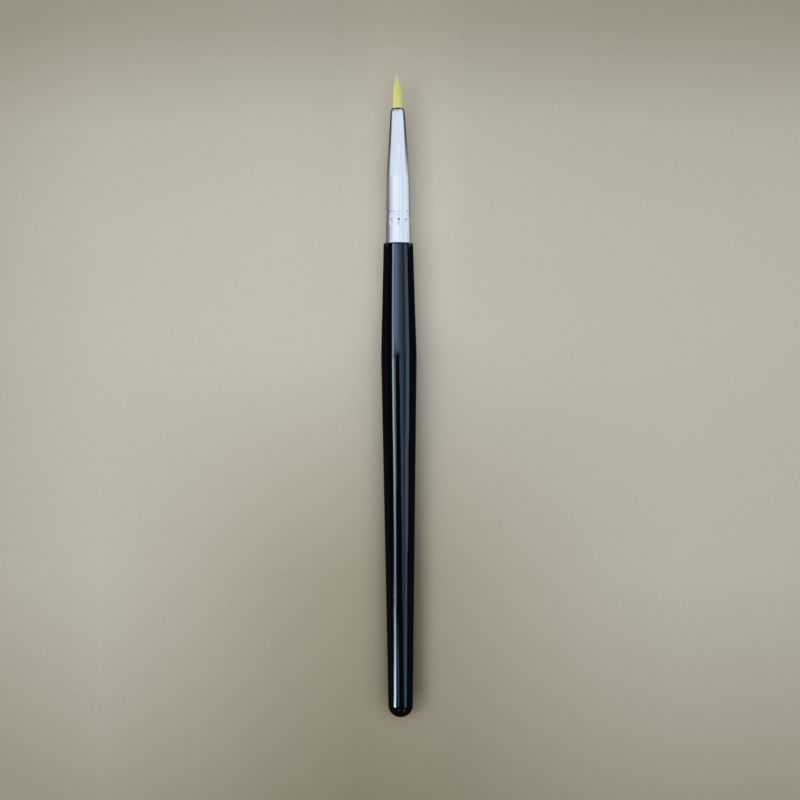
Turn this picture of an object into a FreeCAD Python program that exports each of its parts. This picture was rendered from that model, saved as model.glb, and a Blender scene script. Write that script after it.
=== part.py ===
# A fine eyeliner brush: a turned and lacquered wooden handle, a drawn aluminium ferrule
# crimped on its tenon, a pointed tuft of synthetic filaments and the glue that holds its root.
# Millimetres. The brush lies on z = 0 as it comes to rest, along Y, with the tip towards +Y.

import FreeCAD, Part
import Sketcher
import math
import os

App = FreeCAD
Vector = App.Vector
Constraint = Sketcher.Constraint

# Stations along the brush are measured from the tail end of the handle, and heights on the
# ferrule from the handle's shoulder. Each piece is built upright on its own Z axis.
SIZES = {
    # Handle: a rounded tail, a long cone up to the ridge and a short cone to the shoulder
    "handle_length": 118.0,
    "tail_radius": 3.0,
    "nose_rise": 0.36,
    "tail_round": 2.9,
    "ridge_radius": 4.41,
    "ridge_setback": 28.1,
    "ridge_blend": 75.0,
    "shoulder_step": 0.55,
    "shoulder_round": 0.38,
    # Tenon of the handle, inside the ferrule
    "tenon_length": 14.0,
    "tenon_chamfer": 0.5,
    "tenon_clearance": 0.03,
    # Ferrule: two cones that meet at a knee, and a lip turned in to the mouth
    "ferrule_length": 33.4,
    "ferrule_radius": 3.1,
    "ferrule_wall": 0.3,
    "knee_height": 16.4,
    "knee_radius": 2.8,
    "knee_blend": 10.0,
    "opening_radius": 1.25,
    "lip_width": 0.47,
    "lip_drop": 0.4,
    "lip_round": 0.9,
    "rim_height": 0.3,
    "rim_flare": 0.03,
    # Crimp: a rolled ring, which ramps down to its depth and ends short towards the tip
    "ring_height": 6.93,
    "ring_length": 1.85,
    "ring_end": 0.4,
    "ring_depth": 0.075,
    # Crimp: a row of punched dashes of the same section below the ring
    "dash_height": 5.02,
    "dash_length": 1.8,
    "dash_end": 0.35,
    "dash_depth": 0.18,
    "dash_width": 0.6,
    "dash_count": 9,
    "crimp_overlap": 0.05,
    # Tuft: its root in the ferrule, its belly, its waist and its tip
    "tuft_length": 8.6,
    "root_length": 9.0,
    "root_clearance": 0.03,
    "belly_radius": 1.1,
    "belly_height": 3.6,
    "waist_radius": 0.8,
    "waist_height": 6.2,
    "tip_radius": 0.05,
    "lock_count": 14,
    "lock_depth": 0.07,
    # Glue around and behind the root
    "glue_backing": 1.5,
    "glue_setback": 0.2,
    "glue_clearance": 0.02,
    # How the brush lies: turned about its own axis
    "roll_angle": -7.2,
}


def crimp_cells(kind):
    """What follows for one crimp: its section outside, inside the wall and in the wood."""
    reach = f"({kind}_low_radius - {kind}_floor)"
    cells = {
        f"{kind}_low": f"=handle_length + {kind}_height - {kind}_length / 2",
        f"{kind}_deep": f"={kind}_low + {kind}_length - {kind}_end",
        f"{kind}_low_radius": f"=ferrule_radius - lower_taper * ({kind}_low - handle_length)",
        f"{kind}_wall_radius": f"=ferrule_radius - lower_taper * ({kind}_deep - handle_length)",
        f"{kind}_floor": f"={kind}_wall_radius - {kind}_depth",
        f"{kind}_clear": f"={kind}_low_radius + crimp_overlap",
        f"{kind}_low_clear": f"={kind}_low - crimp_overlap * ({kind}_deep - {kind}_low) / {reach}",
        f"{kind}_high_clear": f"={kind}_deep + {kind}_end * ({kind}_clear - {kind}_floor) / {kind}_depth",
    }
    for layer, inset in (("bead", "ferrule_wall"), ("seat", "ferrule_wall - tenon_clearance")):
        cells[f"{kind}_{layer}_floor"] = f"={kind}_floor - {inset}"
        cells[f"{kind}_{layer}_clear"] = f"={kind}_clear - {inset}"
    return cells


# What follows from the sizes
DERIVED = {
    "ridge_station": "=handle_length - ridge_setback",
    "knee_station": "=handle_length + knee_height",
    "mouth_station": "=handle_length + ferrule_length",
    "lip_station": "=mouth_station - ferrule_wall",
    "tip_station": "=mouth_station + tuft_length",
    "shoulder_radius": "=ferrule_radius + shoulder_step",
    "rim_radius": "=ferrule_radius + rim_flare",
    "rim_station": "=handle_length + rim_height",
    "rim_top_radius": "=ferrule_radius - lower_taper * rim_height",
    # Roundings, limited by the room beside them
    "tail_round_fit": "=min(tail_round; tail_radius)",
    "shoulder_round_fit": "=min(shoulder_round; shoulder_step)",
    "lip_round_fit": "=min(lip_round; 0.9 * lip_face / tan(lip_turn / 2))",
    # Radius lost for each millimetre of height, below and above the knee
    "lower_taper": "=(ferrule_radius - knee_radius) / knee_height",
    "upper_taper": "=(knee_radius - lip_radius) / (lip_foot_station - knee_station)",
    # Lip: a slanted face from the cone in to the opening
    "lip_radius": "=opening_radius + lip_width",
    "lip_foot_station": "=mouth_station - lip_drop",
    "lip_face": "=sqrt(lip_width * lip_width + lip_drop * lip_drop)",
    "lip_turn": "=atan(lip_width / lip_drop) - atan(upper_taper)",
    # Inside of the ferrule's wall
    "bore_radius": "=ferrule_radius - ferrule_wall",
    "bore_knee_radius": "=knee_radius - ferrule_wall",
    "bore_lip_station": "=lip_station - lip_drop",
    "bore_lip_radius": "=bore_knee_radius - upper_taper * (bore_lip_station - knee_station)",
    # Tenon, one clearance inside the bore
    "tenon_radius": "=bore_radius - tenon_clearance",
    "tenon_station": "=handle_length + tenon_length",
    "tenon_edge_station": "=tenon_station - tenon_chamfer",
    "tenon_edge_radius": "=tenon_radius - lower_taper * (tenon_length - tenon_chamfer)",
    "tenon_top_radius": "=tenon_edge_radius - tenon_chamfer",
    # Crimps: the ring all around, and one dash with the widths of its boss and its seat
    **crimp_cells("ring"),
    **crimp_cells("dash"),
    "dash_boss_width": "=dash_width + ferrule_wall",
    "dash_seat_width": "=dash_boss_width + 2 * tenon_clearance",
    # Root of the tuft and the glue around it
    "root_radius": "=opening_radius - root_clearance",
    "root_station": "=mouth_station - root_length",
    "glue_top_station": "=bore_lip_station - glue_setback",
    "glue_back_station": "=root_station - glue_backing",
    "glue_floor_station": "=root_station - glue_clearance",
    "glue_bore_radius": "=root_radius + glue_clearance",
    "glue_inset": "=ferrule_wall + glue_clearance",
    "glue_top_radius": "=knee_radius - upper_taper * (glue_top_station - knee_station) - glue_inset",
    "glue_back_radius": "=knee_radius - upper_taper * (glue_back_station - knee_station) - glue_inset",
    # The long cone lies along the floor, which lifts the tip by this angle
    "rest_tilt": "=atan((ridge_radius - tail_radius) / (ridge_station - nose_rise))",
}

doc = App.newDocument("eyeliner_brush")


def make_sheet():
    """Puts the driving sizes and what follows from them in one spreadsheet."""
    new_sheet = doc.addObject("Spreadsheet::Sheet", "Sizes")
    cells = list(SIZES.items()) + list(DERIVED.items())
    for row, (name, content) in enumerate(cells, start=1):
        new_sheet.set(f"A{row}", name)
        new_sheet.setAlias(f"B{row}", name)
    for row, (name, content) in enumerate(cells, start=1):
        new_sheet.set(f"B{row}", str(content))
    doc.recompute()
    return new_sheet


sheet = make_sheet()


def size(name):
    """The number that a cell of the sheet holds."""
    content = getattr(sheet, name)
    return getattr(content, "Value", content)


def lay_down(piece):
    """Turns a piece from upright to the way the brush lies, on its long cone."""
    along = "-Sizes.tip_station * cos(Sizes.rest_tilt) / 2"
    height = "Sizes.tail_radius * cos(Sizes.rest_tilt) - Sizes.nose_rise * sin(Sizes.rest_tilt)"
    lean = "rotation(vector(1; 0; 0); Sizes.rest_tilt - 90 deg)"
    roll = "rotation(vector(0; 0; 1); Sizes.roll_angle)"
    piece.setExpression("Placement", f"placement(vector(0; {along}; {height}); {lean} * {roll})")


def make_body(label):
    """An empty body for one piece, laid down with the whole brush."""
    body = doc.addObject("PartDesign::Body", label + "_body")
    body.Label = label
    lay_down(body)
    return body


def origin_item(body, role):
    """A plane or an axis of the body's own origin."""
    return next(item for item in body.Origin.OriginFeatures if item.Role == role)


def make_sketch(body, name):
    """A sketch in the plane of the axis: across is X and along the brush is Y."""
    sketch = body.newObject("Sketcher::SketchObject", name)
    sketch.AttachmentSupport = [(origin_item(body, "XZ_Plane"), "")]
    sketch.MapMode = "FlatFace"
    return sketch


def bind(sketch, constraint, cell):
    """Adds a constraint that has a length, and ties the length to a cell."""
    index = sketch.addConstraint(constraint)
    sketch.setExpression(f"Constraints[{index}]", f"Sizes.{cell}")


def pin_point(sketch, point, across, along):
    """Fixes a point at the radius and the station that two cells hold; None is zero."""
    if across is None:
        sketch.addConstraint(Constraint("PointOnObject", *point, -2))
    else:
        bind(sketch, Constraint("DistanceX", -1, 1, *point, size(across)), across)
    if along is None:
        sketch.addConstraint(Constraint("PointOnObject", *point, -1))
    else:
        bind(sketch, Constraint("DistanceY", -1, 1, *point, size(along)), along)


def corner_point(across, along):
    """The place of an outline's corner."""
    return Vector(size(across) if across else 0, size(along) if along else 0, 0)


def join_tangent(sketch, line_end, arc, corner_end):
    """Joins the end of a line to the end of an arc that lies there, without a kink."""
    near = min((1, 2), key=lambda end: sketch.getPoint(arc, end).distanceToPoint(corner_end))
    sketch.addConstraint(Constraint("Tangent", *line_end, arc, near))


def draw_outline(sketch, corners):
    """Draws a closed outline. Each corner has the cells of its radius, station and rounding."""
    count = len(corners)
    points = [corner_point(across, along) for across, along, rounding in corners]
    arrive = list(points)
    leave = list(points)
    centres = [None] * count
    for i, (across, along, rounding) in enumerate(corners):
        if rounding:
            back = (points[i - 1] - points[i]).normalize()
            ahead = (points[(i + 1) % count] - points[i]).normalize()
            half = back.getAngle(ahead) / 2
            reach = size(rounding) / math.tan(half)
            arrive[i] = points[i] + back * reach
            leave[i] = points[i] + ahead * reach
            centres[i] = points[i] + (back + ahead).normalize() * (size(rounding) / math.sin(half))
    sides = [
        sketch.addGeometry(Part.LineSegment(leave[i], arrive[(i + 1) % count]))
        for i in range(count)
    ]
    for i, (across, along, rounding) in enumerate(corners):
        side_in = sides[i - 1]
        side_out = sides[i]
        if not rounding:
            sketch.addConstraint(Constraint("Coincident", side_in, 2, side_out, 1))
            pin_point(sketch, (side_out, 1), across, along)
            continue
        middle = centres[i] + (points[i] - centres[i]).normalize() * size(rounding)
        arc = sketch.addGeometry(Part.Arc(arrive[i], middle, leave[i]))
        corner = sketch.addGeometry(Part.Point(points[i]), True)
        pin_point(sketch, (corner, 1), across, along)
        sketch.addConstraint(Constraint("PointOnObject", corner, 1, side_in))
        sketch.addConstraint(Constraint("PointOnObject", corner, 1, side_out))
        join_tangent(sketch, (side_in, 2), arc, arrive[i])
        join_tangent(sketch, (side_out, 1), arc, leave[i])
        bind(sketch, Constraint("Radius", arc, size(rounding)), rounding)


def turn(body, kind, name, corners):
    """Turns an outline about the body's axis, as added material or as a groove."""
    sketch = make_sketch(body, name + "_outline")
    draw_outline(sketch, corners)
    feature = body.newObject(f"PartDesign::{kind}", name)
    feature.Profile = sketch
    feature.ReferenceAxis = (sketch, ["V_Axis"])
    feature.Angle = 360
    sketch.Visibility = False
    doc.recompute()
    return feature


def press(body, kind, name, corners, width):
    """Makes one dash of a width, as added material or as a pocket, centred on its sketch."""
    sketch = make_sketch(body, name + "_outline")
    draw_outline(sketch, corners)
    feature = body.newObject(f"PartDesign::{kind}", name)
    feature.Profile = sketch
    feature.SideType = "Symmetric"
    feature.setExpression("Length", f"Sizes.{width}")
    sketch.Visibility = False
    doc.recompute()
    return feature


def repeat_around(body, name, features):
    """Repeats the features of one dash all around the axis."""
    pattern = body.newObject("PartDesign::PolarPattern", name)
    pattern.Originals = features
    pattern.Axis = (origin_item(body, "Z_Axis"), [""])
    pattern.Angle = 360
    pattern.setExpression("Occurrences", "Sizes.dash_count")
    body.Tip = pattern
    doc.recompute()
    return pattern


def crimp_section(kind, layer=""):
    """The section of a crimp in one layer: a long ramp down to its floor and a short end."""
    return [
        (f"{kind}{layer}_clear", f"{kind}_low_clear", None),
        (f"{kind}{layer}_floor", f"{kind}_deep", None),
        (f"{kind}{layer}_clear", f"{kind}_high_clear", None),
    ]


def make_handle():
    """The turned handle and its tenon, with the seats that the crimp presses into the wood."""
    body = make_body("handle")
    turn(body, "Revolution", "turned_wood", [
        (None, None, None),
        ("tail_radius", "nose_rise", "tail_round_fit"),
        ("ridge_radius", "ridge_station", "ridge_blend"),
        ("shoulder_radius", "handle_length", "shoulder_round_fit"),
        ("tenon_radius", "handle_length", None),
        ("tenon_edge_radius", "tenon_edge_station", None),
        ("tenon_top_radius", "tenon_station", None),
        (None, "tenon_station", None),
    ])
    turn(body, "Groove", "ring_seat", crimp_section("ring", "_seat"))
    seat = press(body, "Pocket", "dash_seat", crimp_section("dash", "_seat"), "dash_seat_width")
    repeat_around(body, "dash_seats", [seat])
    return body


def make_ferrule():
    """The drawn tube with its turned-in lip, crimped by a rolled ring and a row of dashes."""
    body = make_body("ferrule")
    turn(body, "Revolution", "drawn_tube", [
        ("rim_radius", "handle_length", None),
        ("rim_top_radius", "rim_station", None),
        ("knee_radius", "knee_station", "knee_blend"),
        ("lip_radius", "lip_foot_station", "lip_round_fit"),
        ("opening_radius", "mouth_station", None),
        ("opening_radius", "lip_station", None),
        ("bore_lip_radius", "bore_lip_station", None),
        ("bore_knee_radius", "knee_station", "knee_blend"),
        ("bore_radius", "handle_length", None),
    ])
    turn(body, "Revolution", "ring_bead", crimp_section("ring", "_bead"))
    turn(body, "Groove", "ring", crimp_section("ring"))
    boss = press(body, "Pad", "dash_boss", crimp_section("dash", "_bead"), "dash_boss_width")
    dash = press(body, "Pocket", "dash", crimp_section("dash"), "dash_width")
    repeat_around(body, "dashes", [boss, dash])
    return body


def make_glue_plug():
    """The glue that fills the ferrule around the root and closes it behind."""
    body = make_body("glue_plug")
    turn(body, "Revolution", "glue", [
        (None, "glue_back_station", None),
        ("glue_back_radius", "glue_back_station", None),
        ("glue_top_radius", "glue_top_station", None),
        ("glue_bore_radius", "glue_top_station", None),
        ("glue_bore_radius", "glue_floor_station", None),
        (None, "glue_floor_station", None),
    ])
    return body


def lock_ring(radius, depth, station):
    """A closed ring around the tuft, with a crest for each lock of filaments."""
    crests = int(size("lock_count"))
    points = []
    for i in range(2 * crests):
        angle = math.pi * i / crests
        reach = radius - depth * (i % 2)
        points.append(Vector(reach * math.cos(angle), reach * math.sin(angle), station))
    return Part.makePolygon(points + points[:1])


def make_tuft():
    """The bundle of filaments, in locks that draw together to a point."""
    mouth = size("mouth_station")
    depth = size("lock_depth")
    waist_depth = depth * size("waist_radius") / size("belly_radius")
    tip_depth = depth * size("tip_radius") / size("belly_radius")
    rings = [
        lock_ring(size("root_radius"), depth, size("root_station")),
        lock_ring(size("root_radius"), depth, mouth),
        lock_ring(size("belly_radius"), depth, mouth + size("belly_height")),
        lock_ring(size("waist_radius"), waist_depth, mouth + size("waist_height")),
        lock_ring(size("tip_radius"), tip_depth, size("tip_station")),
    ]
    tuft = doc.addObject("Part::Feature", "tuft_bundle")
    tuft.Label = "tuft"
    tuft.Shape = Part.makeLoft(rings, True, True)
    lay_down(tuft)
    return tuft


def check_document():
    """Stops if any object of the document failed."""
    for item in doc.Objects:
        if "Invalid" in item.State or "Error" in item.State:
            raise RuntimeError(f"{item.Label} failed: {item.State}")


def export(pieces):
    """Writes each piece to its own file after checking its shape."""
    os.makedirs("parts", exist_ok=True)
    for piece in pieces:
        shape = piece.Shape
        if shape.isNull() or not shape.isValid() or len(shape.Solids) != 1:
            raise RuntimeError(f"{piece.Label} is not one valid solid")
    for piece in pieces:
        piece.Shape.exportStep(f"parts/{piece.Label}.step")
        box = piece.Shape.BoundBox
        print(piece.Label, f"volume {piece.Shape.Volume:.2f}", f"y {box.YMin:.3f} {box.YMax:.3f}",
              f"z {box.ZMin:.3f} {box.ZMax:.3f}")


pieces = [make_handle(), make_ferrule(), make_glue_plug(), make_tuft()]
doc.recompute()
check_document()
export(pieces)
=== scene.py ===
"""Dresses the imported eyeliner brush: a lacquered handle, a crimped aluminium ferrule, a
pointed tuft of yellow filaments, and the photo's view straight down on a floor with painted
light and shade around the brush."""

import math
import random

import bpy
import numpy as np
from mathutils import Matrix, Vector


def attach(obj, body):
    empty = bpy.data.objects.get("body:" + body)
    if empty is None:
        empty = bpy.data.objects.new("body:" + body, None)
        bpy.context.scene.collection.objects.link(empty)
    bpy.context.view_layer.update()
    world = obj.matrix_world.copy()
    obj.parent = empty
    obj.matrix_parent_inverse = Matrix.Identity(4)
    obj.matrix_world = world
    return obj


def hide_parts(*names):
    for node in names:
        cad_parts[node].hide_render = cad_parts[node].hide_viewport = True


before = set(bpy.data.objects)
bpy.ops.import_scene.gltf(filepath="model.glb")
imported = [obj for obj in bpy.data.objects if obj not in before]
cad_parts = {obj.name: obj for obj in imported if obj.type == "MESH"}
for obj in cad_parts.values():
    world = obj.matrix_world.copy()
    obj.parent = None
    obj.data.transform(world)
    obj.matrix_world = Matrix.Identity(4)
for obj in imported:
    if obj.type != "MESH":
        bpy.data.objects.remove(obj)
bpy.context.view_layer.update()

MM = 0.001
SEED = 7

# Sizes of the brush in millimetres, the same as in the construction. Stations are measured
# from the tail end along the axis, and heights on the ferrule from the handle's shoulder. The
# lip's outer rounding is the one size that is larger here, as the photo shows it.
HANDLE_LENGTH = 118.0
TAIL_RADIUS = 3.0
NOSE_RISE = 0.36
TAIL_ROUND = 2.9
RIDGE_RADIUS = 4.41
RIDGE_STATION = HANDLE_LENGTH - 28.1
RIDGE_BLEND = 75.0
SHOULDER_RADIUS = 3.65
SHOULDER_ROUND = 0.38
TENON_LENGTH = 14.0
TENON_CHAMFER = 0.5
TENON_CLEARANCE = 0.03
FERRULE_LENGTH = 33.4
FERRULE_RADIUS = 3.1
FERRULE_WALL = 0.3
KNEE_HEIGHT = 16.4
KNEE_RADIUS = 2.8
KNEE_BLEND = 10.0
OPENING_RADIUS = 1.25
LIP_WIDTH = 0.47
LIP_DROP = 0.4
LIP_ROUND = 1.4
RIM_HEIGHT = 0.3
RIM_FLARE = 0.03
RING_HEIGHT = 6.93
RING_LENGTH = 1.85
RING_END = 0.4
RING_DEPTH = 0.075
DASH_HEIGHT = 5.02
DASH_LENGTH = 1.8
DASH_END = 0.35
DASH_DEPTH = 0.18
DASH_WIDTH = 0.6
DASH_EDGE = 0.2
DASH_COUNT = 9
DASH_TURN = math.radians(2.8)
TUFT_LENGTH = 8.6
ROOT_LENGTH = 9.0

MOUTH_STATION = HANDLE_LENGTH + FERRULE_LENGTH
KNEE_STATION = HANDLE_LENGTH + KNEE_HEIGHT
TIP_STATION = MOUTH_STATION + TUFT_LENGTH
LIP_RADIUS = OPENING_RADIUS + LIP_WIDTH
TENON_RADIUS = FERRULE_RADIUS - FERRULE_WALL - TENON_CLEARANCE
LOWER_TAPER = (FERRULE_RADIUS - KNEE_RADIUS) / KNEE_HEIGHT
UPPER_TAPER = (KNEE_RADIUS - LIP_RADIUS) / (FERRULE_LENGTH - LIP_DROP - KNEE_HEIGHT)

# How the brush lies: on its long cone, which lifts the tip
REST_TILT = math.atan((RIDGE_RADIUS - TAIL_RADIUS) / (RIDGE_STATION - NOSE_RISE))
TAIL_POINT = np.array([
    0.0,
    -TIP_STATION * math.cos(REST_TILT) / 2,
    TAIL_RADIUS * math.cos(REST_TILT) - NOSE_RISE * math.sin(REST_TILT),
])
ALONG = np.array([0.0, math.cos(REST_TILT), math.sin(REST_TILT)])
ACROSS = np.array([1.0, 0.0, 0.0])
UPWARD = np.array([0.0, -math.sin(REST_TILT), math.cos(REST_TILT)])


def on_brush(station, angle, radius):
    """Points in metres at stations, angles from the top towards the right, and radii."""
    station = np.asarray(station, float)[..., None]
    angle = np.asarray(angle, float)[..., None]
    radius = np.asarray(radius, float)[..., None]
    outward = ACROSS * np.sin(angle) + UPWARD * np.cos(angle)
    return (TAIL_POINT + ALONG * station + outward * radius) * MM


# Meshes

SHARP_ANGLE = math.radians(40)


def add_mesh(name, points, faces, material, node):
    """A smooth piece that rides on the brush in place of a node of the construction, with its
    material."""
    mesh = bpy.data.meshes.new(name)
    mesh.from_pydata(points.reshape(-1, 3).tolist(), [], faces)
    mesh.update()
    mesh.materials.append(material)
    mesh.polygons.foreach_set("use_smooth", [True] * len(mesh.polygons))
    mesh.set_sharp_from_angle(angle=SHARP_ANGLE)
    piece = bpy.data.objects.new(name, mesh)
    bpy.context.scene.collection.objects.link(piece)
    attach(piece, "root")
    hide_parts(node)
    return piece


def rounded(corners, arc_steps=10):
    """An outline's points as (station, radius); a corner's third number is its rounding."""
    path = []
    for i, (station, radius, rounding) in enumerate(corners):
        here = Vector((station, radius))
        if not rounding:
            path.append(tuple(here))
            continue
        back = (Vector(corners[i - 1][:2]) - here).normalized()
        ahead = (Vector(corners[i + 1][:2]) - here).normalized()
        half = back.angle(ahead) / 2
        centre = here + (back + ahead).normalized() * (rounding / math.sin(half))
        start = here + back * (rounding / math.tan(half)) - centre
        turn = start.angle_signed(here + ahead * (rounding / math.tan(half)) - centre)
        for k in range(arc_steps + 1):
            angle = -turn * k / arc_steps
            spun = Vector((
                start.x * math.cos(angle) - start.y * math.sin(angle),
                start.x * math.sin(angle) + start.y * math.cos(angle),
            ))
            path.append(tuple(centre + spun))
    return path


def refined(path, step, fine_zones=()):
    """The same outline with points no further apart than a step, finer in some zones."""
    dense = [path[0]]
    for (s0, r0), (s1, r1) in zip(path, path[1:]):
        reach = math.hypot(s1 - s0, r1 - r0)
        cuts = {0.0, 1.0}
        for low, high, fine in fine_zones:
            if s0 != s1 and min(s0, s1) < high and max(s0, s1) > low:
                t0, t1 = sorted(((low - s0) / (s1 - s0), (high - s0) / (s1 - s0)))
                cuts |= {min(max(t0, 0.0), 1.0), min(max(t1, 0.0), 1.0)}
        marks = sorted(cuts)
        for a, b in zip(marks, marks[1:]):
            middle = s0 + (s1 - s0) * (a + b) / 2
            limit = min([fine for low, high, fine in fine_zones if low < middle < high] + [step])
            count = max(1, math.ceil(reach * (b - a) / limit))
            for k in range(1, count + 1):
                t = a + (b - a) * k / count
                dense.append((s0 + (s1 - s0) * t, r0 + (r1 - r0) * t))
    return dense


def lathe(path, segments, push=None):
    """Turns an outline about the axis; push adds to the radius at each station and angle."""
    stations = np.array([p[0] for p in path])
    radii = np.array([p[1] for p in path])
    angles = np.arange(segments) * (2 * math.pi / segments)
    grid_s, grid_a = np.meshgrid(stations, angles, indexing="ij")
    grid_r = np.repeat(radii[:, None], segments, axis=1)
    if push is not None:
        grid_r = np.maximum(grid_r + push(grid_s, grid_a, grid_r), 0.0)
    return on_brush(grid_s, grid_a, grid_r)


def ring_faces(rings, segments, closed=False):
    """Quads between neighbouring rings, in the order that turns their faces outward."""
    faces = []
    for i in range(rings if closed else rings - 1):
        low = i * segments
        high = ((i + 1) % rings) * segments
        for j in range(segments):
            k = (j + 1) % segments
            faces.append((low + j, high + j, high + k, low + k))
    return faces


def smooth_step(value):
    """Eases from 0 to 1."""
    value = np.clip(value, 0.0, 1.0)
    return value * value * (3 - 2 * value)


def crimp_ramp(height, middle, length, end, depth):
    """One crimp's depth along the ferrule: a long ramp down and a short end back up."""
    low = middle - length / 2
    high = low + length
    down = (height - low) / (length - end)
    back = (high - height) / end
    return depth * np.clip(np.minimum(down, back), 0.0, 1.0)


def crimp_depth(station, angle):
    """How deep the ring and the dashes press the wall at a place on the ferrule."""
    height = station - HANDLE_LENGTH
    ring = crimp_ramp(height, RING_HEIGHT, RING_LENGTH, RING_END, RING_DEPTH)
    spacing = 2 * math.pi / DASH_COUNT
    turned = (angle - DASH_TURN + spacing / 2) % spacing - spacing / 2
    sideways = np.abs(turned) * (FERRULE_RADIUS - LOWER_TAPER * DASH_HEIGHT)
    edge = smooth_step((DASH_WIDTH / 2 - sideways) / DASH_EDGE + 0.5)
    dash = crimp_ramp(height, DASH_HEIGHT, DASH_LENGTH, DASH_END, DASH_DEPTH)
    return np.maximum(ring, dash * edge)


# Materials

def new_material(name):
    """A node material with its shader, ready for its own nodes."""
    material = bpy.data.materials.new(name)
    material.use_nodes = True
    nodes = material.node_tree.nodes
    return material, nodes, material.node_tree.links, nodes["Principled BSDF"]


def place_noise(nodes, links, scale, stretch, detail=3.0, roughness=0.5):
    """Noise in the brush's own space, finer along an axis whose number in stretch is larger."""
    coordinates = nodes.new("ShaderNodeTexCoord")
    mapping = nodes.new("ShaderNodeMapping")
    mapping.inputs["Scale"].default_value = stretch
    noise = nodes.new("ShaderNodeTexNoise")
    noise.inputs["Scale"].default_value = scale
    noise.inputs["Detail"].default_value = detail
    noise.inputs["Roughness"].default_value = roughness
    links.new(coordinates.outputs["Object"], mapping.inputs["Vector"])
    links.new(mapping.outputs["Vector"], noise.inputs["Vector"])
    return noise.outputs["Fac"]


def ramp(nodes, links, source, stops):
    """A colour ramp over a source between 0 and 1."""
    node = nodes.new("ShaderNodeValToRGB")
    elements = node.color_ramp.elements
    while len(elements) < len(stops):
        elements.new(0.5)
    for element, (position, colour) in zip(elements, stops):
        element.position = position
        element.color = (*colour, 1.0)
    links.new(source, node.inputs["Fac"])
    return node.outputs["Color"]


def greys(*stops):
    """Stops of a ramp in plain greys."""
    return [(position, (level, level, level)) for position, level in stops]


def spread(nodes, links, source, low, high):
    """Maps a source between 0 and 1 onto a range."""
    node = nodes.new("ShaderNodeMapRange")
    node.inputs["To Min"].default_value = low
    node.inputs["To Max"].default_value = high
    links.new(source, node.inputs["Value"])
    return node.outputs["Result"]


def bump(nodes, links, source, depth):
    """A bump of a depth in millimetres."""
    node = nodes.new("ShaderNodeBump")
    node.inputs["Strength"].default_value = 1.0
    node.inputs["Distance"].default_value = depth * MM
    links.new(source, node.inputs["Height"])
    return node.outputs["Normal"]


def mixed(nodes, links, kind, factor, first, second):
    """Mixes two colours by a factor; each of the three is an output or a plain value."""
    node = nodes.new("ShaderNodeMix")
    node.data_type = "RGBA"
    node.blend_type = kind
    for name, value in (("Factor", factor), ("A", first), ("B", second)):
        if isinstance(value, (tuple, float)):
            node.inputs[name].default_value = value
        else:
            links.new(value, node.inputs[name])
    return node.outputs["Result"]


def scaled_place(nodes, links, centre, reach):
    """A place as a share of a reach in metres along X and Y from a centre."""
    coordinates = nodes.new("ShaderNodeTexCoord")
    mapping = nodes.new("ShaderNodeMapping")
    mapping.vector_type = "TEXTURE"
    mapping.inputs["Location"].default_value = (*centre, 0.0)
    mapping.inputs["Scale"].default_value = (*reach, 1.0)
    links.new(coordinates.outputs["Object"], mapping.inputs["Vector"])
    return mapping.outputs["Vector"]


def along(nodes, links, axis, low, high):
    """How far a place lies between two places in metres on the X or the Y axis, 0 to 1."""
    centre = [0.0, 0.0]
    reach = [1.0, 1.0]
    centre["XY".index(axis)] = low
    reach["XY".index(axis)] = high - low
    split = nodes.new("ShaderNodeSeparateXYZ")
    links.new(scaled_place(nodes, links, centre, reach), split.inputs["Vector"])
    return split.outputs[axis]


def level_along(nodes, links, axis, low, high, *stops):
    """A grey level that follows its stops between two places on the X or the Y axis."""
    return ramp(nodes, links, along(nodes, links, axis, low, high), greys(*stops))


def past_slant(nodes, links, start, end, slant):
    """Rises from 0 to 1 between two places along Y, which move ahead with the distance from
    the Y axis."""
    split = nodes.new("ShaderNodeSeparateXYZ")
    links.new(scaled_place(nodes, links, (0.0, 0.0), (1.0, 1.0)), split.inputs["Vector"])
    aside = nodes.new("ShaderNodeMath")
    aside.operation = "ABSOLUTE"
    links.new(split.outputs["X"], aside.inputs[0])
    moved = nodes.new("ShaderNodeMath")
    moved.operation = "MULTIPLY_ADD"
    moved.inputs[1].default_value = -slant
    links.new(aside.outputs[0], moved.inputs[0])
    links.new(split.outputs["Y"], moved.inputs[2])
    rise = nodes.new("ShaderNodeMapRange")
    rise.inputs["From Min"].default_value = start
    rise.inputs["From Max"].default_value = end
    links.new(moved.outputs[0], rise.inputs["Value"])
    return rise.outputs["Result"]


def make_lacquer():
    """Black gloss lacquer over turned wood, a little uneven, with faint rubbed places."""
    material, nodes, links, shader = new_material("black_gloss_lacquer")
    cloud = place_noise(nodes, links, 60.0, (1.0, 0.4, 1.0), 2.0)
    tint = ramp(nodes, links, cloud, [
        (0.3, (0.0004, 0.0004, 0.0006)),
        (0.7, (0.0010, 0.0010, 0.0013)),
    ])
    links.new(tint, shader.inputs["Base Color"])
    rub = place_noise(nodes, links, 900.0, (1.0, 0.15, 1.0), 4.0)
    links.new(spread(nodes, links, rub, 0.03, 0.12), shader.inputs["Roughness"])
    peel = place_noise(nodes, links, 420.0, (1.0, 0.6, 1.0), 2.0)
    links.new(bump(nodes, links, peel, 0.0016), shader.inputs["Normal"])
    shader.inputs["IOR"].default_value = 1.75
    shader.inputs["Specular Tint"].default_value = (0.62, 0.84, 1.0, 1.0)
    return material


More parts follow.
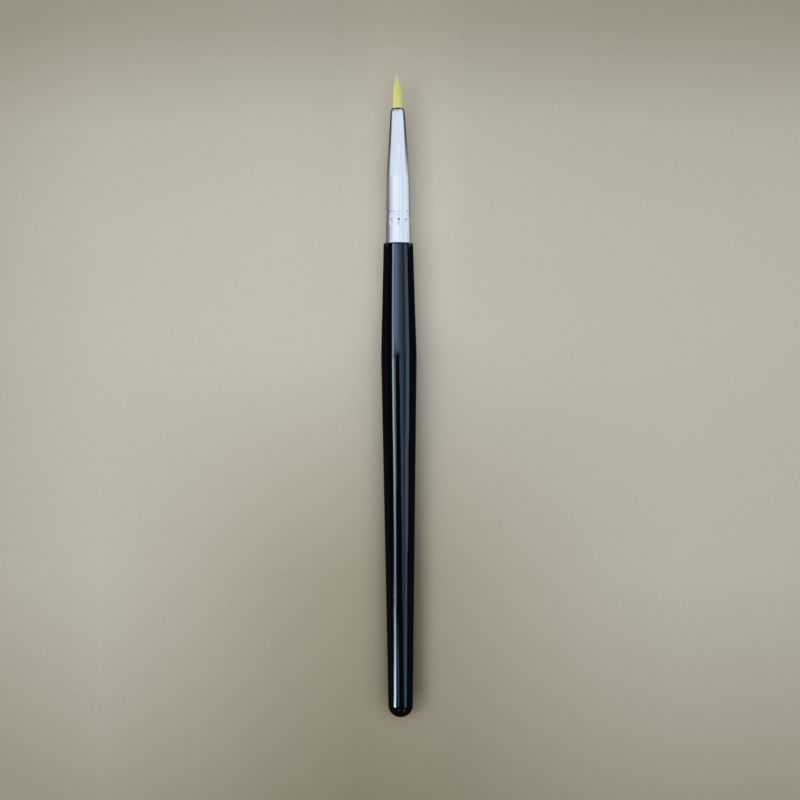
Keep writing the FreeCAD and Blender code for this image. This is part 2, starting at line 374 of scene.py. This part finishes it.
def make_aluminium():
    """Drawn and polished aluminium with fine lines along it and soft clouds."""
    material, nodes, links, shader = new_material("drawn_aluminium")
    lines = place_noise(nodes, links, 1.0, (2600.0, 45.0, 2600.0), 3.0, 0.6)
    tone = ramp(nodes, links, lines, [
        (0.3, (0.69, 0.71, 0.75)),
        (0.5, (0.75, 0.765, 0.80)),
        (0.7, (0.79, 0.80, 0.83)),
    ])
    links.new(tone, shader.inputs["Base Color"])
    haze = place_noise(nodes, links, 1.0, (700.0, 120.0, 700.0), 3.0)
    links.new(spread(nodes, links, haze, 0.15, 0.22), shader.inputs["Roughness"])
    scratch = place_noise(nodes, links, 1.0, (5200.0, 90.0, 5200.0), 2.0, 0.6)
    links.new(bump(nodes, links, scratch, 0.0018), shader.inputs["Normal"])
    shader.inputs["Metallic"].default_value = 1.0
    return material


def make_filament():
    """Yellow synthetic filaments; each one has its own shade from the mesh, which also says how
    far it pales towards the tip. The pale tip is partly the filaments' own thin ends and partly
    painted light that brightens the tip."""
    material, nodes, links, shader = new_material("yellow_filament")
    shade = nodes.new("ShaderNodeAttribute")
    shade.attribute_name = "shade"
    tone = ramp(nodes, links, shade.outputs["Fac"], [
        (0.0, (0.785, 0.80, 0.20)),
        (0.5, (0.845, 0.86, 0.245)),
        (1.0, (0.89, 0.90, 0.33)),
    ])
    fade = nodes.new("ShaderNodeAttribute")
    fade.attribute_name = "fade"
    # Pale tip colour: partly the thin ends' own colour, partly painted light.
    pale = (0.93, 0.90, 0.50, 1.0)
    colour = mixed(nodes, links, "MIX", fade.outputs["Fac"], tone, pale)
    links.new(colour, shader.inputs["Base Color"])
    grain = place_noise(nodes, links, 2500.0, (1.0, 0.1, 1.0), 2.0)
    links.new(spread(nodes, links, grain, 0.3, 0.5), shader.inputs["Roughness"])
    shader.inputs["Specular IOR Level"].default_value = 0.3
    shader.inputs["Subsurface Weight"].default_value = 0.4
    shader.inputs["Subsurface Radius"].default_value = (0.6 * MM, 0.6 * MM, 0.2 * MM)
    shader.inputs["Subsurface Scale"].default_value = 1.0
    return material


def make_glue():
    """Cured amber glue."""
    material, nodes, links, shader = new_material("amber_glue")
    cloud = place_noise(nodes, links, 800.0, (1.0, 1.0, 1.0), 2.0)
    tone = ramp(nodes, links, cloud, [
        (0.3, (0.62, 0.50, 0.26)),
        (0.7, (0.76, 0.67, 0.42)),
    ])
    links.new(tone, shader.inputs["Base Color"])
    shader.inputs["Roughness"].default_value = 0.25
    return material


# Floor paints: the plain floor far out; a painted shadow over the tail, a painted contact shadow
# and painted light around the tip, which multiply the paint near the brush; and the painted
# shade that gloss sees.
FAR_PAINT = (0.315, 0.288, 0.230, 1.0)
TAIL_PAINTED_SHADOW = (0.68, 0.648, 0.568, 1.0)
CONTACT_PAINTED_SHADOW = (0.56, 0.54, 0.49, 1.0)
TIP_PAINTED_LIGHT = (1.13, 1.13, 1.11, 1.0)
DEEP_SHADE = (0.014, 0.014, 0.016, 1.0)
FAR_SHADE = (0.05, 0.05, 0.055, 1.0)
NEAR_RADIUS = 0.5


def near_brush(nodes, links):
    """1 on the floor around the brush, falling to 0 further out."""
    gradient = nodes.new("ShaderNodeTexGradient")
    gradient.gradient_type = "SPHERICAL"
    place = scaled_place(nodes, links, (0.0, 0.0), (NEAR_RADIUS, NEAR_RADIUS))
    links.new(place, gradient.inputs["Vector"])
    return ramp(nodes, links, gradient.outputs["Fac"], greys((0.3, 0.0), (0.7, 1.0)))


def with_painted_light(nodes, links, paint, across, lengthways, tint):
    """Multiplies a paint by a colour inside a soft area, given by how strong it is along X and
    along Y; the floor uses it for painted shadows and painted light."""
    strength = mixed(nodes, links, "MULTIPLY", 1.0, across, lengthways)
    return mixed(nodes, links, "MULTIPLY", strength, paint, tint)


def floor_paint_with_painted_light(nodes, links):
    """The paint that diffuse light shows, with painted light in it: a painted pool of light that
    dulls towards the picture's edges, a painted shadow around the tail, a painted contact shadow
    at the brush's foot and a little painted light around the tip."""
    # Painted pool of light: the floor's level falls off along Y and X from a bright middle.
    rows = level_along(
        nodes, links, "Y", -0.11, 0.11,
        (0.0, 0.60), (0.14, 0.77), (0.30, 0.94), (0.58, 1.0), (0.70, 0.98), (0.81, 0.91),
        (0.93, 0.67), (1.0, 0.60),
    )
    columns = level_along(
        nodes, links, "X", -0.11, 0.11,
        (0.0, 0.80), (0.16, 0.95), (0.36, 1.01), (0.50, 0.985), (0.73, 0.93), (1.0, 0.90),
    )
    paint = ramp(nodes, links, mixed(nodes, links, "MULTIPLY", 1.0, rows, columns), [
        (0.58, (0.283, 0.254, 0.197)),
        (0.85, (0.415, 0.389, 0.327)),
        (1.0, (0.484, 0.453, 0.391)),
    ])
    # Painted shadow over the floor around the tail end.
    across = level_along(
        nodes, links, "X", -0.095, 0.070,
        (0.0, 0.0), (0.12, 0.04), (0.27, 0.42), (0.39, 0.80), (0.51, 0.98), (0.66, 0.80),
        (0.76, 0.50), (0.88, 0.18), (1.0, 0.0),
    )
    lengthways = level_along(nodes, links, "Y", -0.045, 0.012, (0.0, 1.0), (1.0, 0.0))
    paint = with_painted_light(nodes, links, paint, across, lengthways, TAIL_PAINTED_SHADOW)
    # Painted contact shadow close along both sides of the brush, strongest towards the tail.
    across = level_along(
        nodes, links, "X", -0.0095, 0.0095,
        (0.0, 0.0), (0.07, 0.10), (0.20, 0.28), (0.27, 0.50), (0.33, 0.70), (0.40, 0.80),
        (0.70, 1.0), (0.77, 0.90), (0.80, 0.64), (0.855, 0.34), (0.92, 0.10), (1.0, 0.0),
    )
    lengthways = level_along(
        nodes, links, "Y", -0.080, 0.020,
        (0.0, 0.0), (0.07, 1.0), (0.36, 1.0), (0.80, 0.25), (1.0, 0.0),
    )
    paint = with_painted_light(nodes, links, paint, across, lengthways, CONTACT_PAINTED_SHADOW)
    # Painted light that brightens the floor around the ferrule and the tip, lightening the
    # shadow there.
    across = level_along(
        nodes, links, "X", -0.014, 0.018,
        (0.0, 0.0), (0.30, 1.0), (0.72, 1.0), (1.0, 0.0),
    )
    lengthways = level_along(
        nodes, links, "Y", 0.010, 0.085,
        (0.0, 0.0), (0.20, 1.0), (0.75, 0.7), (1.0, 0.3),
    )
    paint = with_painted_light(nodes, links, paint, across, lengthways, TIP_PAINTED_LIGHT)
    grain = place_noise(nodes, links, 700.0, (1.0, 1.0, 1.0), 4.0)
    speckle = ramp(nodes, links, grain, greys((0.3, 0.97), (0.7, 1.0)))
    paint = mixed(nodes, links, "MULTIPLY", 1.0, paint, speckle)
    return mixed(nodes, links, "MIX", near_brush(nodes, links), FAR_PAINT, paint)


def floor_shade(nodes, links):
    """The floor as gloss sees it, all painted shade and painted light: deep painted shade beside
    the handle, painted light beside the ferrule's barrel towards the right, and painted shade
    again close to its cone."""
    barrel = ramp(nodes, links, along(nodes, links, "X", -0.05, 0.05), [
        (0.18, (0.36, 0.34, 0.41)),
        (0.25, (0.19, 0.185, 0.21)),
        (0.37, (0.15, 0.15, 0.16)),
        (0.43, (0.20, 0.195, 0.20)),
        (0.545, (0.17, 0.165, 0.16)),
        (0.585, (0.34, 0.35, 0.37)),
        (0.655, (0.70, 0.74, 0.80)),
        (0.95, (0.94, 0.98, 1.0)),
    ])
    cone = ramp(nodes, links, along(nodes, links, "X", -0.04, 0.04), [
        (0.08, (0.52, 0.57, 0.63)),
        (0.16, (0.06, 0.06, 0.07)),
        (0.84, (0.06, 0.06, 0.07)),
        (0.92, (0.52, 0.57, 0.63)),
    ])
    handle_end = past_slant(nodes, links, 0.0374, 0.0384, 0.10)
    barrel_end = level_along(nodes, links, "Y", 0.056, 0.066, (0.0, 0.0), (1.0, 1.0))
    shade = mixed(nodes, links, "MIX", handle_end, DEEP_SHADE, barrel)
    shade = mixed(nodes, links, "MIX", barrel_end, shade, cone)
    return mixed(nodes, links, "MIX", near_brush(nodes, links), FAR_SHADE, shade)


def make_floor_paint():
    """A warm beige floor with painted light and painted shadows around the brush; gloss sees a
    separate painted shade with painted light beside the ferrule.
    """
    material, nodes, links, shader = new_material("beige_floor")
    path = nodes.new("ShaderNodeLightPath")
    tone = floor_paint_with_painted_light(nodes, links)
    shade = floor_shade(nodes, links)
    # Diffuse light sees the paint with its painted pool of light and painted shadows; gloss sees
    # the painted shade.
    colour = mixed(nodes, links, "MIX", path.outputs["Is Glossy Ray"], tone, shade)
    links.new(colour, shader.inputs["Base Color"])
    shader.inputs["Roughness"].default_value = 0.8
    shader.inputs["Specular IOR Level"].default_value = 0.2
    return material


# Pieces

SEGMENTS = 240
HANDLE_STEP = 1.1
SEAT_STEP = 0.1
FERRULE_STEP = 0.9
CRIMP_STEP = 0.06
NOSE_HOLE = 0.02
LONG_WAVE = 0.0022
SHORT_WAVE = 0.0009
ROUND_WAVE = 0.0025
TUBE_OVAL = 0.004
TUBE_RIPPLE = 0.0012


def handle_push(station, angle, radius):
    """The slight waves that hand turning and dipping leave in the lacquer, and the places in
    the tenon where the crimp sits."""
    fade = smooth_step((HANDLE_LENGTH - station) / 2) * smooth_step(station / 4)
    waves = np.sin(station * 0.55 + 1.3 * np.sin(angle + 0.4)) * LONG_WAVE
    waves = waves + np.sin(station * 1.35 + 2.0 * np.cos(angle - 0.7)) * SHORT_WAVE
    waves = waves + np.sin(3 * angle + station * 0.05) * ROUND_WAVE
    on_tenon = (station > HANDLE_LENGTH + 0.01) & (radius >= TENON_RADIUS - 1.0)
    return fade * waves - np.where(on_tenon, crimp_depth(station, angle), 0.0)


def make_handle(material):
    """The lacquered handle with its tenon inside the ferrule."""
    edge_station = HANDLE_LENGTH + TENON_LENGTH - TENON_CHAMFER
    edge_radius = TENON_RADIUS - LOWER_TAPER * (TENON_LENGTH - TENON_CHAMFER)
    corners = [
        (0.0, NOSE_HOLE, None),
        (NOSE_RISE, TAIL_RADIUS, TAIL_ROUND),
        (RIDGE_STATION, RIDGE_RADIUS, RIDGE_BLEND),
        (HANDLE_LENGTH, SHOULDER_RADIUS, SHOULDER_ROUND),
        (HANDLE_LENGTH, TENON_RADIUS, None),
        (edge_station, edge_radius, None),
        (edge_station + TENON_CHAMFER, edge_radius - TENON_CHAMFER, None),
        (edge_station + TENON_CHAMFER, NOSE_HOLE, None),
    ]
    crimp_low = HANDLE_LENGTH + DASH_HEIGHT - DASH_LENGTH
    crimp_high = HANDLE_LENGTH + RING_HEIGHT + RING_LENGTH
    path = refined(rounded(corners, 16), HANDLE_STEP, [(crimp_low, crimp_high, SEAT_STEP)])
    points = lathe(path, SEGMENTS, handle_push)
    faces = ring_faces(len(path), SEGMENTS)
    faces.append(tuple(range(SEGMENTS)))
    last = (len(path) - 1) * SEGMENTS
    faces.append(tuple(last + j for j in reversed(range(SEGMENTS))))
    return add_mesh("lacquered_handle", points, faces, material, "handle")


def ferrule_push(station, angle, radius):
    """The crimp, and the faint unevenness of a thin drawn tube, on all but the lip's edge."""
    uneven = np.sin(2 * angle + 0.8 + station * 0.12) * TUBE_OVAL
    uneven = uneven + np.sin(5 * angle + station * 0.3) * TUBE_RIPPLE
    return np.where(radius > 1.7, uneven - crimp_depth(station, angle), 0.0)


def make_ferrule(material):
    """The crimped tube of two cones, with its wall and its turned-in lip."""
    lip_foot = MOUTH_STATION - LIP_DROP
    bore_lip = MOUTH_STATION - FERRULE_WALL
    bore_foot = bore_lip - LIP_DROP
    bore_knee = KNEE_RADIUS - FERRULE_WALL
    corners = [
        (HANDLE_LENGTH, FERRULE_RADIUS - FERRULE_WALL, None),
        (HANDLE_LENGTH, FERRULE_RADIUS + RIM_FLARE, None),
        (HANDLE_LENGTH + RIM_HEIGHT, FERRULE_RADIUS - LOWER_TAPER * RIM_HEIGHT, None),
        (KNEE_STATION, KNEE_RADIUS, KNEE_BLEND),
        (lip_foot, LIP_RADIUS, LIP_ROUND),
        (MOUTH_STATION, OPENING_RADIUS, 0.06),
        (bore_lip, OPENING_RADIUS, None),
        (bore_foot, bore_knee - UPPER_TAPER * (bore_foot - KNEE_STATION), None),
        (KNEE_STATION, bore_knee, KNEE_BLEND),
        (HANDLE_LENGTH, FERRULE_RADIUS - FERRULE_WALL, None),
    ]
    crimp_low = HANDLE_LENGTH + DASH_HEIGHT - DASH_LENGTH / 2 - 0.2
    crimp_high = HANDLE_LENGTH + RING_HEIGHT + RING_LENGTH / 2 + 0.3
    path = refined(rounded(corners), FERRULE_STEP, [(crimp_low, crimp_high, CRIMP_STEP)])[:-1]
    points = lathe(path, SEGMENTS, ferrule_push)
    faces = ring_faces(len(path), SEGMENTS, closed=True)
    return add_mesh("crimped_ferrule", points, faces, material, "ferrule")


FIBRE_COUNT = 560
FIBRE_SIDES = 5
FIBRE_STEPS = 19
FIBRE_RADIUS = 0.056
NECK_RADIUS = 1.24
BELLY_RADIUS = 1.1
NECK_FALL = 1.6
OGIVE_START = MOUTH_STATION + 3.0
OGIVE_POWER = 2.2
TIP_LEAN = 0.17
TIP_GAP = 0.03
EARLIEST_END = 3.0
FOOT_DEPTH = 0.5
PALE_START = 4.2
PALE_LENGTH = 4.2


def bundle_radius(station):
    """The tuft's outline: pinched by the mouth, even in the belly, then drawn to a point."""
    height = np.maximum(station - MOUTH_STATION, 0.0)
    body = BELLY_RADIUS + (NECK_RADIUS - BELLY_RADIUS) * np.exp(-height / NECK_FALL)
    share = np.clip((station - OGIVE_START) / (TIP_STATION - OGIVE_START), 0.0, 1.0)
    return body * (1 - share ** OGIVE_POWER)


def make_tuft(material):
    """Separate tapered filaments, packed in a spiral and drawn together at their tips."""
    chance = random.Random(SEED)
    golden = math.pi * (3 - math.sqrt(5))
    in_ferrule = MOUTH_STATION - ROOT_LENGTH + np.array([0.0, 0.5, 1.0]) * (ROOT_LENGTH - 1.0)
    foot = MOUTH_STATION - FOOT_DEPTH
    sides = np.arange(FIBRE_SIDES) * (2 * math.pi / FIBRE_SIDES)
    ring = ACROSS * np.sin(sides)[:, None] + UPWARD * np.cos(sides)[:, None]
    points = []
    faces = []
    shades = []
    fades = []
    for i in range(FIBRE_COUNT):
        share = math.sqrt((i + 0.5) / FIBRE_COUNT)
        turn = i * golden + chance.uniform(-0.06, 0.06)
        early = chance.random() ** 2 * share ** 1.5
        end = TIP_STATION - TIP_GAP - early * EARLIEST_END
        above = foot + np.linspace(0.0, 1.0, FIBRE_STEPS) ** 0.85 * (end - foot)
        stations = np.concatenate([in_ferrule, above])
        lean = chance.uniform(-0.05, 0.05)
        drift = chance.uniform(-0.10, 0.10)
        free = np.clip((stations - MOUTH_STATION) / TUFT_LENGTH, 0.0, 1.0)
        reach = share * (bundle_radius(stations) - FIBRE_RADIUS * 0.9) * (1 + lean * free)
        centre = on_brush(stations, turn + drift * free, np.maximum(reach, 0.0))
        centre = centre - ACROSS * (TIP_LEAN * free ** 2)[:, None] * MM
        narrow = np.clip((stations - OGIVE_START) / (end - OGIVE_START), 0.0, 1.0)
        thick = FIBRE_RADIUS * chance.uniform(0.85, 1.1) * (1 - 0.9 * narrow ** 1.6)
        tube = centre[:, None, :] + ring[None, :, :] * thick[:, None, None] * MM
        start = len(points)
        points.extend(tube.reshape(-1, 3).tolist())
        for quad in ring_faces(len(stations), FIBRE_SIDES):
            faces.append(tuple(start + v for v in quad))
        faces.append(tuple(start + j for j in range(FIBRE_SIDES)))
        last = start + (len(stations) - 1) * FIBRE_SIDES
        faces.append(tuple(last + j for j in reversed(range(FIBRE_SIDES))))
        shades.extend([chance.random()] * (len(stations) * FIBRE_SIDES))
        # How far the fibre pales towards its tip, for the tip colour that is partly painted
        # light.
        pale = smooth_step((stations - MOUTH_STATION - PALE_START) / PALE_LENGTH)
        fades.extend(np.repeat(pale, FIBRE_SIDES).tolist())
    piece = add_mesh("filament_tuft", np.array(points), faces, material, "tuft")
    for name, values in (("shade", shades), ("fade", fades)):
        attribute = piece.data.attributes.new(name, "FLOAT", "POINT")
        attribute.data.foreach_set("value", values)


def dress_glue(material):
    """The glue is inside the ferrule, so its solid only takes the material."""
    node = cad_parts["glue_plug"]
    node.data.materials.clear()
    node.data.materials.append(material)


# Stage

WORLD_LIGHT = (1.33, 1.31, 1.275)
CAMERA_HEIGHT = 0.480
CAMERA_PLACE = (0.00022, -0.00099)
CAMERA_ROLL = math.radians(-0.287)
CAMERA_ANGLE = math.radians(23.61)
FLOOR_REACH = 2.6
BACKDROP_BEND = 1.0
BACKDROP_TOP = 1.6
LAMP_REACH = 1.0
SEEN_SKY = (0.004, 0.0045, 0.005, 1.0)


def make_floor(material):
    """A wide plain floor under the brush that curves up into a backdrop far around it."""
    segments = 96
    bend_steps = 12
    profile = [(0.5, 0.0), (FLOOR_REACH, 0.0)]
    for k in range(1, bend_steps + 1):
        turn = math.pi / 2 * k / bend_steps
        out = FLOOR_REACH + BACKDROP_BEND * math.sin(turn)
        profile.append((out, BACKDROP_BEND * (1 - math.cos(turn))))
    profile.append((FLOOR_REACH + BACKDROP_BEND, BACKDROP_TOP))
    points = [(0.0, 0.0, 0.0)]
    for radius, height in profile:
        for j in range(segments):
            angle = 2 * math.pi * j / segments
            points.append((radius * math.cos(angle), radius * math.sin(angle), height))
    faces = [(0, 1 + j, 1 + (j + 1) % segments) for j in range(segments)]
    for quad in ring_faces(len(profile), segments):
        faces.append(tuple(1 + v for v in quad))
    mesh = bpy.data.meshes.new("floor")
    mesh.from_pydata(points, [], faces)
    mesh.materials.append(material)
    mesh.polygons.foreach_set("use_smooth", [True] * len(mesh.polygons))
    floor = bpy.data.objects.new("floor", mesh)
    bpy.context.scene.collection.objects.link(floor)


def lit_group(name, piece, state):
    """A group for lamps that light one piece only (INCLUDE) or all the others (EXCLUDE)."""
    group = bpy.data.collections.new(name)
    group.objects.link(piece)
    group.collection_objects[0].light_linking.link_state = state
    return group


def softbox(name, start, end, width, radiance, colour, group=None):
    """A rectangular lamp that faces the brush from a metre away. Its two ends are given as an
    angle in degrees from straight above towards the right, and a place along Y."""
    ends = []
    for degrees, place in (start, end):
        angle = math.radians(degrees)
        ends.append(Vector((LAMP_REACH * math.sin(angle), place, LAMP_REACH * math.cos(angle))))
    lengthways = (ends[1] - ends[0]).normalized()
    centre = (ends[0] + ends[1]) / 2
    outward = Vector((centre.x, 0.0, centre.z))
    outward = (outward - lengthways * outward.dot(lengthways)).normalized()
    lamp = bpy.data.lights.new(name, "AREA")
    lamp.shape = "RECTANGLE"
    lamp.size = 2 * LAMP_REACH * math.tan(math.radians(width) / 2)
    lamp.size_y = (ends[1] - ends[0]).length
    lamp.energy = radiance * math.pi * lamp.size * lamp.size_y
    lamp.color = colour
    holder = bpy.data.objects.new(name, lamp)
    turn = Matrix((lengthways.cross(outward), lengthways, outward)).transposed()
    holder.matrix_world = Matrix.Translation(centre) @ turn.to_4x4()
    bpy.context.scene.collection.objects.link(holder)
    if group:
        holder.light_linking.receiver_collection = group


def make_world():
    """A soft sky overhead for diffuse light; camera and gloss see a dim room."""
    world = bpy.data.worlds.new("room")
    bpy.context.scene.world = world
    world.use_nodes = True
    nodes = world.node_tree.nodes
    links = world.node_tree.links
    nodes.clear()
    path = nodes.new("ShaderNodeLightPath")
    seen = nodes.new("ShaderNodeMath")
    seen.operation = "MAXIMUM"
    links.new(path.outputs["Is Camera Ray"], seen.inputs[0])
    links.new(path.outputs["Is Glossy Ray"], seen.inputs[1])
    seen_through = nodes.new("ShaderNodeMath")
    seen_through.operation = "MAXIMUM"
    links.new(seen.outputs[0], seen_through.inputs[0])
    links.new(path.outputs["Is Transmission Ray"], seen_through.inputs[1])
    seen_sky = nodes.new("ShaderNodeBackground")
    seen_sky.inputs["Color"].default_value = SEEN_SKY
    light = nodes.new("ShaderNodeBackground")
    direction = nodes.new("ShaderNodeTexCoord")
    split = nodes.new("ShaderNodeSeparateXYZ")
    links.new(direction.outputs["Generated"], split.inputs["Vector"])
    dome = ramp(nodes, links, split.outputs["Z"], greys((0.5, 0.06), (0.85, 1.0)))
    light_colour = mixed(nodes, links, "MULTIPLY", 1.0, dome, (*WORLD_LIGHT, 1.0))
    links.new(light_colour, light.inputs["Color"])
    mix = nodes.new("ShaderNodeMixShader")
    output = nodes.new("ShaderNodeOutputWorld")
    links.new(seen_through.outputs[0], mix.inputs["Fac"])
    links.new(light.outputs["Background"], mix.inputs[1])
    links.new(seen_sky.outputs["Background"], mix.inputs[2])
    links.new(mix.outputs["Shader"], output.inputs["Surface"])


def make_lamps(handle, ferrule):
    """An arch of soft panels over the ferrule, and strips over and beside the handle. Satin
    metal and black lacquer need different strengths, so some lamps light one of them only."""
    sky = (0.80, 0.895, 1.0)
    cool = (0.745, 0.81, 1.0)
    white = (0.95, 0.98, 1.0)
    warm = (0.97, 0.97, 1.0)
    lilac = (0.78, 0.80, 1.0)
    pink = (0.90, 0.885, 1.0)
    metal = lit_group("metal_only", ferrule, "INCLUDE")
    rest = lit_group("all_but_metal", ferrule, "EXCLUDE")
    lacquer = lit_group("lacquer_only", handle, "INCLUDE")
    crimp_end = 0.04
    barrel_end = 0.215
    arch_end = 0.40
    far_ahead = 1.5
    ceiling_end = 0.19
    ceiling_middle = 0.13
    # Over the ferrule
    for name, low, high, radiance, end_radiance, group in (
        ("arch_left", -100.0, -60.0, 1.10, 0.40, metal),
        ("arch_upper_left", -60.0, -20.0, 1.06, 0.75, None),
        ("arch_top", -20.0, 20.0, 1.06, 0.62, None),
        ("arch_upper_right", 20.0, 60.0, 1.06, 0.85, None),
        ("arch_right", 60.0, 100.0, 1.10, 0.90, metal),
    ):
        middle = (low + high) / 2
        ends = (middle, barrel_end), (middle, arch_end)
        softbox(name, *ends, high - low, radiance, sky, group)
        ends = (middle, arch_end), (middle, far_ahead)
        softbox(name + "_end", *ends, high - low, end_radiance, sky, metal)
    for name, low, high, radiance, colour in (
        ("barrel_a", -110.0, -84.0, 0.46, pink),
        ("barrel_b", -84.0, -61.0, 0.78, pink),
        ("barrel_c", -61.0, -51.0, 0.96, sky),
        ("barrel_d", -51.0, -32.0, 1.36, sky),
        ("barrel_e", -32.0, -20.0, 1.17, sky),
        ("barrel_f", -20.0, -3.0, 1.25, sky),
        ("barrel_g", -3.0, 17.0, 1.18, sky),
        ("barrel_h", 17.0, 47.0, 1.07, sky),
        ("barrel_i", 47.0, 68.0, 0.96, sky),
        ("barrel_j", 68.0, 80.0, 1.10, sky),
        ("barrel_k", 80.0, 106.0, 1.24, sky),
        ("barrel_l", 106.0, 120.0, 0.8, sky),
    ):
        middle = (low + high) / 2
        ends = (middle, crimp_end), (middle, barrel_end)
        softbox(name, *ends, high - low, radiance, colour, metal)
    for name, low, high, end, radiance in (
        ("crimp_left", -110.0, -50.0, -1.5, 0.75),
        ("crimp_top", -50.0, 50.0, -0.4, 1.05),
        ("crimp_right", 50.0, 110.0, -1.5, 1.15),
    ):
        middle = (low + high) / 2
        softbox(name, (middle, end), (middle, crimp_end), high - low, radiance, sky, metal)
    # Over the front of the handle, brighter to the left
    for name, low, high, end, radiance in (
        ("ceiling_a", -31.0, -12.0, 0.062, 2.55),
        ("ceiling_b", -12.0, -4.0, 0.055, 1.8),
        ("ceiling_c", -4.0, 4.0, 0.045, 1.4),
        ("ceiling_d", 4.0, 12.0, 0.025, 1.05),
        ("ceiling_e", 12.0, 20.0, 0.020, 0.82),
        ("ceiling_f", 20.0, 30.0, 0.015, 0.58),
        ("ceiling_g", 30.0, 44.0, 0.015, 0.36),
    ):
        middle = (low + high) / 2
        ends = (middle, end), (middle, ceiling_end)
        softbox(name, *ends, high - low, radiance, cool, rest)
        ends = (middle, ceiling_middle), (middle, ceiling_end)
        softbox(name + "_front", *ends, high - low, radiance * 0.2, cool, rest)
    softbox("ceiling_end", (-16.0, 0.035), (-16.0, 0.060), 30.0, 1.0, cool, rest)
    softbox("ceiling_edge", (-22.0, 0.018), (-22.0, 0.040), 16.0, 0.7, cool, rest)
    # Left of the handle
    for name, angle, start, end, width, radiance, colour in (
        ("left_strip_front", -40.0, 0.19, 0.13, 12.5, 4.9, white),
        ("left_strip", -40.0, 0.13, 0.075, 13.0, 3.9, white),
        ("left_strip_bend", -38.0, 0.075, 0.028, 12.5, 4.2, white),
        ("left_strip_gap", -39.0, 0.028, 0.008, 12.5, 3.0, white),
        ("left_strip_middle", -38.7, 0.008, -0.09, 12.0, 4.9, white),
        ("left_core", -40.0, -0.02, -0.08, 4.0, 2.4, white),
        ("left_strip_next", -37.0, -0.09, -0.14, 12.5, 5.2, white),
        ("left_strip_low", -36.5, -0.14, -0.175, 16.0, 3.5, white),
        ("left_strip_end", -39.5, -0.175, -0.215, 17.0, 2.9, white),
        ("left_glow", -26.5, 0.0, -0.13, 10.0, 1.5, white),
        ("tail_strip_a", -45.5, -0.215, -0.245, 19.0, 5.4, warm),
        ("tail_strip_b", -47.5, -0.245, -0.268, 20.0, 7.6, warm),
        ("tail_strip_c", -51.5, -0.268, -0.285, 21.0, 11.0, warm),
        ("tail_strip_d", -55.5, -0.285, -0.36, 22.0, 12.2, warm),
        ("tail_glow", -20.0, -0.25, -0.34, 11.0, 1.1, cool),
    ):
        softbox(name, (angle, start), (angle, end), width, radiance, colour, rest)
    # Right of the handle: an inner lobe whose edge drifts outward, then an outer one
    for name, edge, start, end, inner, outer in (
        ("right_a", 3.0, 0.012, -0.05, 1.08, 0.70),
        ("right_b", 7.0, -0.05, -0.09, 1.02, 0.66),
        ("right_c", 12.0, -0.09, -0.14, 1.02, 0.64),
        ("right_d", 17.0, -0.14, -0.18, 0.74, 0.58),
        ("right_e", 20.0, -0.18, -0.22, 0.68, 0.46),
        ("right_f", 25.0, -0.22, -0.27, 0.54, 0.42),
        ("right_g", 31.0, -0.27, -0.35, 0.52, 0.46),
    ):
        limit = 29.0 + edge / 3
        middle = edge + 5.0
        softbox(name + "_inner", (middle, start), (middle, end), 10.0, inner, lilac, rest)
        middle = (edge + 10.0 + limit) / 2
        width = limit - edge - 10.0
        softbox(name + "_outer", (middle, start), (middle, end), width, outer, lilac, rest)
    for name, angle, start, end, width, radiance in (
        ("right_fill", 37.5, 0.012, -0.165, 9.0, 0.33),
        ("right_front", 59.0, 0.19, 0.012, 26.0, 1.2),
        ("right_outer", 58.0, 0.012, -0.08, 26.0, 1.28),
        ("right_outer_low", 54.0, -0.08, -0.165, 25.0, 1.18),
        ("right_tail", 50.0, -0.165, -0.25, 21.0, 0.96),
        ("right_tail_end", 48.5, -0.25, -0.36, 20.0, 1.15),
    ):
        softbox(name, (angle, start), (angle, end), width, radiance, lilac, rest)
    # Far ahead of the tip and behind the tail, for the gloss as seen from low angles
    for name, angle, start, end, width, radiance in (
        ("ahead_strip", -38.0, 0.5, far_ahead, 12.0, 2.6),
        ("ahead_panel", 35.0, 0.5, far_ahead, 44.0, 0.40),
        ("behind_strip", 45.0, -0.7, -1.4, 13.0, 1.3),
        ("behind_panel", -20.0, -0.7, -1.4, 44.0, 0.25),
    ):
        softbox(name, (angle, start), (angle, end), width, radiance, cool, lacquer)


def make_camera():
    """The photo's view: straight down, with the brush almost upright in the picture."""
    camera = bpy.data.cameras.new("photo_camera")
    camera.sensor_width = 36.0
    camera.lens = camera.sensor_width / 2 / math.tan(CAMERA_ANGLE / 2)
    camera.clip_start = 0.01
    holder = bpy.data.objects.new("photo_camera", camera)
    holder.location = (*CAMERA_PLACE, CAMERA_HEIGHT)
    holder.rotation_euler = (0.0, 0.0, CAMERA_ROLL)
    bpy.context.scene.collection.objects.link(holder)
    bpy.context.scene.camera = holder


handle = make_handle(make_lacquer())
ferrule = make_ferrule(make_aluminium())
make_tuft(make_filament())
dress_glue(make_glue())
make_floor(make_floor_paint())
make_world()
make_lamps(handle, ferrule)
make_camera()
bpy.context.scene.view_settings.view_transform = "Standard"
